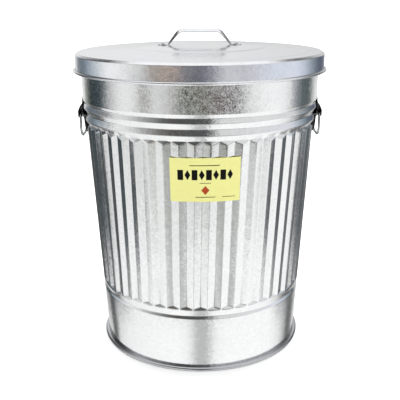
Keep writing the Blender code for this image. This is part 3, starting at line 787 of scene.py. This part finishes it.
def strap_stations():
    """Stations from the +X tip to the middle of the strap: point, normal, width, rise."""
    foot_z = CROWN_Z + GAP + STRAP_THICKNESS
    tip_x = handle_high.x
    top_z = handle_high.z
    tip = (tip_x, foot_z)
    foot_corner = (STRAP_FOOT_CORNER_X, foot_z)
    top_corner = (STRAP_TOP_CORNER_X, top_z)
    foot_bend = path_corner(tip, foot_corner, top_corner, STRAP_FOOT_BEND, 6)
    top_bend = path_corner(foot_corner, top_corner, (0.0, top_z), STRAP_TOP_BEND, 12)
    upright = Vector((0.0, 1.0))
    leg_normal = Vector((top_z - foot_z, STRAP_FOOT_CORNER_X - STRAP_TOP_CORNER_X)).normalized()
    stations = []
    foot_length = tip_x - foot_bend[0].x
    foot_steps = 10
    for step in range(foot_steps):
        share = step / foot_steps
        widening = math.sin(min(1.0, share / STRAP_POINT_SHARE) * math.pi / 2.0)
        width = STRAP_FOOT_WIDTH * max(STRAP_TIP_SHARE, widening)
        stations.append((Vector((tip_x - foot_length * share, foot_z)), upright, width, 0.0))
    for step, point in enumerate(foot_bend):
        share = step / (len(foot_bend) - 1)
        width = STRAP_FOOT_WIDTH + (STRAP_WIDTH - STRAP_FOOT_WIDTH) * share
        rise = STRAP_ROOT_RISE * share * share
        stations.append((point, upright.slerp(leg_normal, share), width, rise))
    leg_steps = 6
    for step in range(1, leg_steps):
        share = step / leg_steps
        point = foot_bend[-1].lerp(top_bend[0], share)
        rise = STRAP_ROOT_RISE + (STRAP_RISE - STRAP_ROOT_RISE) * share
        stations.append((point, leg_normal, STRAP_WIDTH, rise))
    for step, point in enumerate(top_bend):
        normal = leg_normal.slerp(upright, step / (len(top_bend) - 1))
        stations.append((point, normal, STRAP_WIDTH, STRAP_RISE))
    return stations


def build_handle(sheet_steel, rivet_metal):
    """The lid's strap handle with its rivets and washers."""
    half = strap_stations()
    stations = list(half)
    for point, normal, width, rise in half[::-1]:
        stations.append((Vector((-point.x, point.y)), Vector((-normal.x, normal.y)), width, rise))
    rings = []
    across_steps = 10
    across = [math.sin(math.pi * (step / across_steps - 0.5)) for step in range(across_steps + 1)]
    for point, normal, width, rise in stations:
        crown = []
        under = []
        for share in across:
            upper = point - normal * rise * share * share
            lower = upper - normal * STRAP_THICKNESS
            crown.append((upper.x, width / 2.0 * share, upper.y))
            under.append((lower.x, width / 2.0 * share, lower.y))
        rings.append(crown + under[::-1])
    strap = piece("lid_strap_handle", skin(rings, closed=False), sheet_steel, "lid",
                  ["lid_handle"])
    soften_edges(strap, STRAP_EDGE, 40.0)

    for label, side in SIDES.items():
        low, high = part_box("lid_rivet_" + label)
        washer_low, washer_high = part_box("lid_washer_" + label)
        place = Matrix.Translation(((low.x + high.x) / 2.0, 0.0, 0.0))
        seat = CROWN_Z + 2.0 * GAP + STRAP_THICKNESS
        tail = washer_low.z - GAP
        rivet = rivet_part((high.x - low.x) / 2.0, seat, high.z, tail, low.z)
        piece("lid_handle_rivet_" + label, moved(rivet, place), rivet_metal, "lid",
              ["lid_rivet_" + label], smooth_angle=40.0)
        washer = washer_part((washer_high.x - washer_low.x) / 2.0, washer_high.z, washer_low.z)
        piece("lid_handle_washer_" + label, moved(washer, place), rivet_metal, "lid",
              ["lid_washer_" + label], smooth_angle=40.0)


# ---------------------------------------------------------------- rivets and washers
def rivet_part(head_radius, seat, head_top, tail_seat, tail_end):
    """A round-head rivet along Z with an upset tail."""
    head_height = head_top - seat
    dome = []
    dome_steps = 8
    for step in range(dome_steps + 1):
        angle = math.pi / 2.0 * step / dome_steps
        height = HEAD_EDGE + (1.0 - HEAD_EDGE) * math.cos(angle)
        dome.append((head_radius * math.sin(angle), seat + head_height * height))
    tail_radius = head_radius * TAIL_SHARE
    outline = dome + [
        (head_radius, seat),
        (SHANK_RADIUS, seat),
        (SHANK_RADIUS, tail_seat),
        (tail_radius, tail_seat),
        (tail_radius, (tail_seat + tail_end) / 2.0),
        (tail_radius * TAIL_CHAMFER, tail_end),
        (0.0, tail_end),
    ]
    return turned(outline, FIXING_SIDES)


def washer_part(radius, top, bottom):
    """A flat washer along Z with softened edges."""
    edge = (top - bottom) * WASHER_EDGE
    outline = [
        (HOLE_RADIUS, bottom + edge),
        (HOLE_RADIUS, top - edge),
        (HOLE_RADIUS + edge, top),
        (radius - edge, top),
        (radius, top - edge),
        (radius, bottom + edge),
        (radius - edge, bottom),
        (HOLE_RADIUS + edge, bottom),
    ]
    return turned(outline, FIXING_SIDES)


# ---------------------------------------------------------------- brackets and bails
def plate_point(side, y, height, layer):
    """A point of a bracket plate: layer 0 is its inner face and 1 its outer face."""
    radius = PLATE_RADIUS + PLATE_SLOPE * (height - PLATE_Z) + layer * BRACKET_SHEET
    azimuth = y / PLATE_RADIUS
    return (side * radius * math.cos(azimuth), radius * math.sin(azimuth), height)


def plate_part(side, low, high):
    """The leaf-shaped plate of a bracket, curved round the can."""
    rows = 28
    columns = 24
    middle = (low.z + high.z) / 2.0
    half_height = (high.z - low.z) / 2.0
    half_width = PLATE_RADIUS * math.asin(high.y / PLATE_RADIUS)
    rings = []
    for row in range(rows + 1):
        share = -math.cos(math.pi * row / rows)
        height = middle + half_height * share
        width = PLATE_TIP + (half_width - PLATE_TIP) * (1.0 - share * share)
        across = [width * (2.0 * column / columns - 1.0) for column in range(columns + 1)]
        ring = [plate_point(side, y, height, 0) for y in across]
        ring += [plate_point(side, y, height, 1) for y in across[::-1]]
        rings.append(ring)
    return skin(rings, closed=False)


def hood_part(side):
    """The pressed hood that holds a bail, swept along the plate."""
    outer = [
        (HOOD_FRONT_X - HOOD_BROW_BACK, HOOD_ROOT_Z - HOOD_BROW_DROP),
        (HOOD_FRONT_X, BAIL_AXIS_Z + HOOD_FRONT_RISE),
        (HOOD_FRONT_X, HOOD_FLOOR_Z),
        (BAIL_AXIS_X, HOOD_FLOOR_Z),
    ]
    outer = round_corners(outer, HOOD_BEND, steps=5)
    inner = offset_line(outer, -BRACKET_SHEET)[::-1]
    rings = []
    stations = 24
    for station in range(stations + 1):
        y = HOOD_HALF_LENGTH * (2.0 * station / stations - 1.0)
        ring = []
        for height in (HOOD_ROOT_Z - HOOD_ROOT_DEPTH, HOOD_ROOT_Z):
            root = plate_point(side, y, height, 0.5)
            ring.append((root[0], y, height))
        ring += [(side * x, y, height) for x, height in outer + inner]
        rings.append(ring)
    return skin(rings, closed=False)


def build_bracket(label, side, enamel, rivet_metal):
    """One side bracket with its rivets and washers."""
    node = "bracket_" + label
    low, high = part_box(node)
    plate = piece(node + "_pressing", plate_part(side, low, high), enamel, "can",
                  [node])
    hood = new_mesh_object("hood_" + label, hood_part(side), enamel, SMOOTH_ANGLE)
    union = plate.modifiers.new("hood", "BOOLEAN")
    union.operation = "UNION"
    union.solver = "EXACT"
    union.object = hood
    apply_modifiers(plate)
    bpy.data.objects.remove(hood)
    soften_edges(plate, PLATE_EDGE, 50.0)

    for row in ("front", "rear"):
        name = "_" + label + "_" + row
        low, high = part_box("bracket_rivet" + name)
        washer_low, washer_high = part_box("bracket_washer" + name)
        middle = (low + high) / 2.0
        outward = Vector((middle.x, middle.y, 0.0)).normalized()
        facing = outward.to_track_quat("Z", "Y").to_matrix().to_4x4()
        place = Matrix.Translation((0.0, 0.0, middle.z)) @ facing
        head_radius = (high.z - low.z) / 2.0
        seat = PLATE_RADIUS + PLATE_SLOPE * (middle.z - PLATE_Z) + BRACKET_SHEET + GAP
        washer_middle = ((washer_low + washer_high) / 2.0).xy.length
        washer_top = washer_middle + WASHER_THICKNESS / 2.0
        washer_bottom = washer_top - WASHER_THICKNESS
        tail = washer_bottom - GAP
        rivet = rivet_part(head_radius, seat, seat + HEAD_HEIGHT, tail, tail - TAIL_HEIGHT)
        piece("can_rivet" + name, moved(rivet, place), rivet_metal, "can",
              ["bracket_rivet" + name], smooth_angle=40.0)
        washer = washer_part((washer_high.z - washer_low.z) / 2.0, washer_top, washer_bottom)
        piece("can_washer" + name, moved(washer, place), rivet_metal, "can",
              ["bracket_washer" + name], smooth_angle=40.0)


def apply_modifiers(item):
    """Make the evaluated mesh of an object its own mesh."""
    graph = bpy.context.evaluated_depsgraph_get()
    made = bpy.data.meshes.new_from_object(item.evaluated_get(graph))
    item.modifiers.clear()
    item.data = made
    made.shade_smooth()
    made.set_sharp_from_angle(angle=math.radians(SMOOTH_ANGLE))


def build_bail(label, side, wire):
    """One bail: a closed loop of wire whose upper run turns in the hood."""
    node = "bail_" + label
    low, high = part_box(node)
    wire_radius = high.z - BAIL_AXIS_Z
    half_width = high.y - wire_radius
    drop = low.z + wire_radius
    corners = [
        ((-half_width, BAIL_AXIS_Z), BAIL_TOP_CORNER),
        ((half_width, BAIL_AXIS_Z), BAIL_TOP_CORNER),
        ((half_width, drop), BAIL_GRIP_CORNER),
        ((-half_width, drop), BAIL_GRIP_CORNER),
    ]
    path = []
    for index, (corner, radius) in enumerate(corners):
        before = corners[index - 1][0]
        after = corners[(index + 1) % len(corners)][0]
        path += path_corner(before, corner, after, radius, steps=10)
    rings = []
    for index, point in enumerate(path):
        along = (path[(index + 1) % len(path)] - path[index - 1]).normalized()
        normal = Vector((-along.y, along.x))
        ring = []
        for x, reach in wire_section((0.0, 0.0), wire_radius):
            spot = point + normal * reach
            ring.append((side * BAIL_AXIS_X + x, spot.x, spot.y))
        rings.append(ring)
    piece("bail_wire_" + label, skin(rings, closed=True), wire, BAIL_BODY[label],
          [node], smooth_angle=60.0)


# ---------------------------------------------------------------- studio
def ramp(tree, share, stops):
    """A colour ramp over azimuth: stops are (degrees from the front towards +X, glow)."""
    made = add_node(tree, "ShaderNodeValToRGB", {0: share})
    elements = made.color_ramp.elements
    while len(elements) > 1:
        elements.remove(elements[-1])
    for index, (azimuth, glow) in enumerate(stops):
        place = azimuth / 360.0 + 0.5
        element = elements[0] if index == 0 else elements.new(place)
        element.position = place
        element.color = (*glow, 1.0) if isinstance(glow, tuple) else grey(glow)
    return made.outputs[0]


# What the steel mirrors, all round the object: boxes, gaps between them and the white tent.
# One number is a grey, three are a colour.
SKIRT_GLOW = (                        # a few degrees below level
    (-180, 0.60), (-170, 0.80), (-152, 0.80), (-144, (0.26, 0.28, 0.30)),
    (-129, (0.15, 0.19, 0.22)), (-118, (0.34, 0.40, 0.46)), (-104, (0.66, 0.71, 0.75)),
    (-90, 1.06), (-66, (0.98, 0.99, 0.97)), (-52, (0.82, 0.81, 0.79)), (-42, (0.48, 0.42, 0.38)),
    (-26, (0.64, 0.52, 0.44)), (-12, (0.33, 0.32, 0.35)), (0, (0.21, 0.23, 0.27)),
    (12, (0.38, 0.37, 0.43)), (25, (0.66, 0.67, 0.71)), (40, (0.56, 0.55, 0.60)),
    (66, (0.74, 0.79, 0.89)), (92, (0.82, 0.86, 0.96)), (104, (0.66, 0.70, 0.82)),
    (116, (0.36, 0.42, 0.48)), (130, (0.14, 0.17, 0.21)), (144, (0.10, 0.11, 0.15)),
    (153, (0.26, 0.27, 0.33)), (168, 0.70), (180, 0.60),
)
BAND_GLOW = (                         # about 10 degrees below level
    (-180, 0.50), (-168, 0.85), (-152, 0.85), (-141, (0.26, 0.27, 0.25)),
    (-130, (0.035, 0.045, 0.045)), (-114, (0.035, 0.050, 0.060)), (-104, (0.12, 0.14, 0.15)),
    (-92, 0.72), (-78, 0.94), (-66, 0.86), (-54, (0.24, 0.24, 0.22)), (-42, 0.78),
    (-30, 0.58), (-22, (0.24, 0.24, 0.22)), (-13, (0.07, 0.07, 0.05)), (0, (0.10, 0.09, 0.06)),
    (14, (0.09, 0.06, 0.05)), (28, (0.06, 0.04, 0.04)), (35, (0.14, 0.12, 0.12)), (46, 0.72),
    (64, 1.00), (80, 1.04), (93, 0.94), (104, (0.28, 0.30, 0.32)), (116, (0.10, 0.12, 0.13)),
    (130, (0.12, 0.14, 0.14)), (141, 0.66), (154, 0.88), (168, 0.90), (180, 0.60),
)
PLEAT_GLOW = (                        # about 20 degrees below level
    (-180, 0.60), (-168, 0.90), (-159, 0.90), (-150, 0.22), (-140, 0.09), (-104, (0.06, 0.08, 0.09)),
    (-94, 0.14), (-84, 0.84), (-64, 0.94), (-36, 0.80), (-22, (0.70, 0.71, 0.68)),
    (-8, (0.46, 0.47, 0.45)), (8, (0.47, 0.48, 0.46)), (24, 0.68), (40, 0.90), (60, 1.08),
    (88, 1.06), (97, 0.30), (104, (0.10, 0.11, 0.12)), (128, (0.13, 0.14, 0.15)), (140, 0.22),
    (150, 0.60), (162, 0.88), (180, 0.60),
)
FLOOR_GLOW = (                        # the tent's white floor, with narrow gaps
    (-180, 0.70), (-158, 0.76), (-144, 0.82), (-137, 0.16), (-127, 0.14), (-120, 0.86),
    (-100, 1.04), (-30, 1.13), (-15, 1.06), (-5, 0.58), (6, 0.58), (17, 1.08), (30, 1.14),
    (94, 1.12), (112, 0.94), (124, 0.50), (131, 0.14), (143, 0.20), (152, 0.66), (170, 0.85),
    (180, 0.70),
)
CEILING_GLOW = (                      # above level
    (-180, 0.88), (-158, 0.90), (-146, 0.40), (-138, 0.08), (-112, 0.07), (-98, 0.34),
    (-88, 0.80), (-74, 0.74), (-60, 0.44), (-46, 0.28), (-36, 0.14), (-24, 0.09), (8, 0.09),
    (18, 0.78), (60, 0.84), (100, 0.78), (114, 0.30), (138, 0.16), (150, 0.60), (168, 0.74),
    (180, 0.88),
)
OVERHEAD_GLOW = 1.10
OVERHEAD_START = 42.0                 # elevations over which the overhead panel fades in
OVERHEAD_END = 56.0
LEVELS = (                            # elevations over which each glow takes over, in degrees
    (-7.2, -8.3, BAND_GLOW),
    (-13.0, -17.0, PLEAT_GLOW),
    (-23.0, -29.5, FLOOR_GLOW),
    (-2.0, 8.0, CEILING_GLOW),
)
SOFTBOX_PLACE = (0.0, -1.0, 3.0)
SOFTBOX_LEAN = math.radians(-14.0)
SOFTBOX_SPREAD = math.radians(70.0)
SOFTBOX_POWER = 4.4
FLOOR_REACH = 30.0
FLOOR_CLOUD = 0.6
CAMERA_PLACE = (-0.0006, -1.145, 0.585)
CAMERA_PITCH = math.radians(72.86)    # from straight down
CAMERA_ROLL = math.radians(-0.3)
CAMERA_LENS = 62.7
CAMERA_REACH = 200.0


def build_studio_light():
    """Soft light all round, as in a tent: white below, boxes at the sides and gaps between."""
    world = bpy.data.worlds.new("studio")
    bpy.context.scene.world = world
    world.use_nodes = True
    tree = world.node_tree
    direction = add_node(tree, "ShaderNodeTexCoord").outputs["Generated"]
    split = add_node(tree, "ShaderNodeSeparateXYZ", {0: direction})
    back = maths(tree, "MULTIPLY", split.outputs[1], -1.0)
    turn = maths(tree, "ARCTAN2", split.outputs[0], back)
    share = maths(tree, "MULTIPLY_ADD", turn, 1.0 / (2.0 * math.pi), 0.5)
    rise = maths(tree, "ARCSINE", split.outputs[2])
    colour = ramp(tree, share, SKIRT_GLOW)
    for start, end, glow in LEVELS:
        level = stretch(tree, rise, (math.radians(start), math.radians(end)), (0.0, 1.0))
        colour = blend_colour(tree, level, colour, ramp(tree, share, glow))
    overhead = (math.radians(OVERHEAD_START), math.radians(OVERHEAD_END))
    colour = blend_colour(tree, stretch(tree, rise, overhead, (0.0, 1.0)), colour,
                          grey(OVERHEAD_GLOW))
    seen = add_node(tree, "ShaderNodeLightPath").outputs["Is Camera Ray"]
    colour = blend_colour(tree, seen, colour, grey(1.0))
    tree.links.new(colour, tree.nodes["Background"].inputs[0])

    lamp = bpy.data.lights.new("overhead_softbox", "SUN")
    lamp.angle = SOFTBOX_SPREAD
    lamp.energy = SOFTBOX_POWER
    box = bpy.data.objects.new("overhead_softbox", lamp)
    box.location = SOFTBOX_PLACE
    box.rotation_euler = (SOFTBOX_LEAN, 0.0, 0.0)
    box.visible_glossy = False
    bpy.context.scene.collection.objects.link(box)


def build_floor():
    """A pale studio floor. The steel mirrors the tent and not this floor."""
    material, tree, shader, place = start_material("studio_floor")
    cloud = noise(tree, place, FLOOR_CLOUD)
    colour = blend_colour(tree, cloud, grey(0.88), grey(0.90))
    tree.links.new(colour, shader.inputs["Base Color"])
    shader.inputs["Roughness"].default_value = 0.9
    shader.inputs["Specular IOR Level"].default_value = 0.0
    sides = 60
    rim = [at_azimuth(FLOOR_REACH, 2.0 * math.pi * side / sides, 0.0) for side in range(sides)]
    mesh = bpy.data.meshes.new("studio_floor")
    mesh.from_pydata(rim, [], [tuple(range(len(rim)))])
    mesh.materials.append(material)
    floor = bpy.data.objects.new("studio_floor", mesh)
    floor.visible_glossy = False
    bpy.context.scene.collection.objects.link(floor)


def build_camera():
    """A camera in front of the object, a little higher than its lid, looking down at it."""
    lens = bpy.data.cameras.new("camera")
    lens.sensor_width = 36.0
    lens.lens = CAMERA_LENS
    lens.clip_end = CAMERA_REACH
    camera = bpy.data.objects.new("camera", lens)
    turn = Matrix.Rotation(CAMERA_PITCH, 4, "X") @ Matrix.Rotation(CAMERA_ROLL, 4, "Z")
    camera.matrix_world = Matrix.Translation(CAMERA_PLACE) @ turn
    bpy.context.scene.collection.objects.link(camera)
    bpy.context.scene.camera = camera


# ---------------------------------------------------------------- assembly
def main():
    """Build the studio, the materials and every piece."""
    build_camera()
    build_studio_light()
    build_floor()
    bpy.context.scene.view_settings.view_transform = "Standard"

    can_steel = galvanised("galvanised_can", (0.87, 0.88, 0.88), roughness=0.13, spangle=0.046)
    lid_steel = galvanised("galvanised_lid", (0.85, 0.86, 0.88), roughness=0.15, spangle=0.044)
    foot_steel = galvanised("galvanised_foot", (0.56, 0.57, 0.59), roughness=0.18, spangle=0.030)
    wire = zinc("zinc_coated_wire", (0.48, 0.49, 0.50), roughness=0.34)
    rivet_metal = zinc("zinc_plated_rivet", (0.66, 0.67, 0.68), roughness=0.30)
    enamel = black_enamel("black_stoving_enamel")
    ground = print_stock("label_ground", (0.73, 0.72, 0.275), spread=0.04, roughness=0.45)
    dark_ink = print_stock("label_dark_ink", (0.003, 0.003, 0.002), spread=0.3, roughness=0.5)
    red_ink = print_stock("label_red_ink", (0.42, 0.060, 0.012), spread=0.2, roughness=0.5)

    build_can(can_steel, wire)
    build_side_seam(can_steel)
    build_foot(foot_steel)
    build_label(ground, dark_ink, red_ink)
    build_lid(lid_steel, wire)
    build_handle(lid_steel, rivet_metal)
    for label, side in SIDES.items():
        build_bracket(label, side, enamel, rivet_metal)
        build_bail(label, side, wire)


main()
